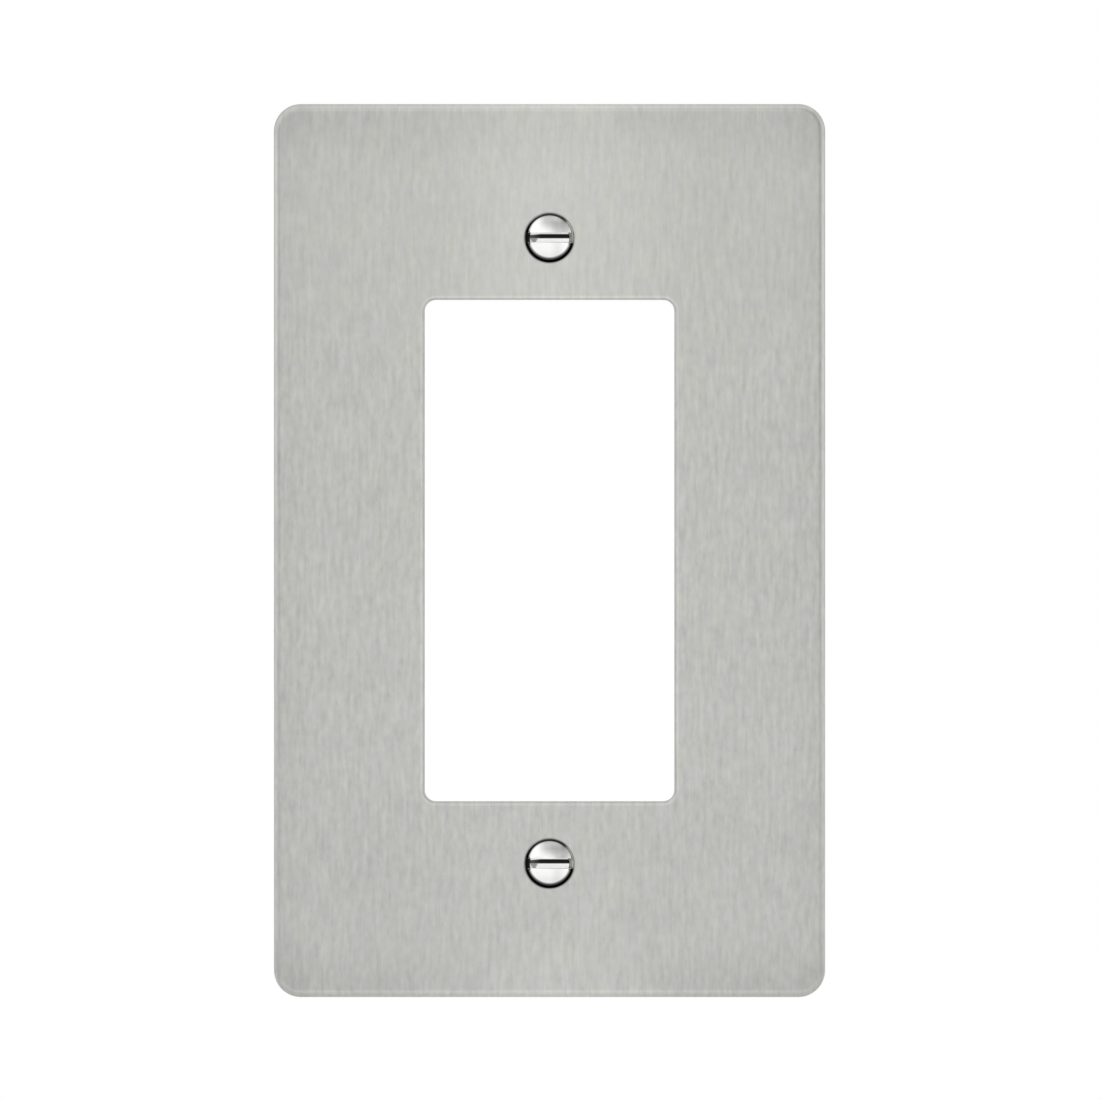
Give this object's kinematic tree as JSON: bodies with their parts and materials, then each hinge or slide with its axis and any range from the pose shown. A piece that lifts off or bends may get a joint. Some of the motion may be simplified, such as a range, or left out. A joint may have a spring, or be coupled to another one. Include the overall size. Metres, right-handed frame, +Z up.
{
  "type": "wall plate cover",
  "caption": "Brushed stainless wall plate with a rectangular device opening, rolled edges and slotted oval-head screws held captive by nylon retaining washers.",
  "frame": {"origin": "centre of the plate on the wall plane, which is the plane of the rim's back edge", "axes": "+Z up along the plate's height, +X along its width, -Y out of the front face towards the viewer, +Y into the wall"},
  "size_m": [0.0734, 0.0136, 0.119],
  "materials": {
    "brushed_stainless": "fine vertical brushed grain, satin",
    "screw_steel": "polished head, bright rolled thread",
    "retainer_nylon": "natural nylon, slightly translucent"
  },
  "bodies": {
    "plate": {"face_plate": "brushed_stainless"},
    "upper_retainer": {"upper_screw_retainer": "retainer_nylon"},
    "upper_screw": {"upper_screw": "screw_steel"},
    "lower_retainer": {"lower_screw_retainer": "retainer_nylon"},
    "lower_screw": {"lower_screw": "screw_steel"}
  },
  "joints": [
    {"name": "upper_screw_advance", "type": "slide", "parent": "plate", "child": "upper_retainer", "axis": [0, -1, 0], "range_m": [0, 0.00218]},
    {"name": "upper_screw_turn", "type": "hinge", "parent": "upper_retainer", "child": "upper_screw", "pos_m": [0, 0, 0.04167], "axis": [0, -1, 0], "range_deg": [0, 990]},
    {"name": "lower_screw_advance", "type": "slide", "parent": "plate", "child": "lower_retainer", "axis": [0, -1, 0], "range_m": [0, 0.00218]},
    {"name": "lower_screw_turn", "type": "hinge", "parent": "lower_retainer", "child": "lower_screw", "pos_m": [0, 0, -0.04167], "axis": [0, -1, 0], "range_deg": [0, 990]}
  ],
  "couplings": [
    {"joint": "upper_screw_turn", "follows": "upper_screw_advance", "rad_per_m": 7915.8},
    {"joint": "lower_screw_turn", "follows": "lower_screw_advance", "rad_per_m": 7915.8}
  ]
}
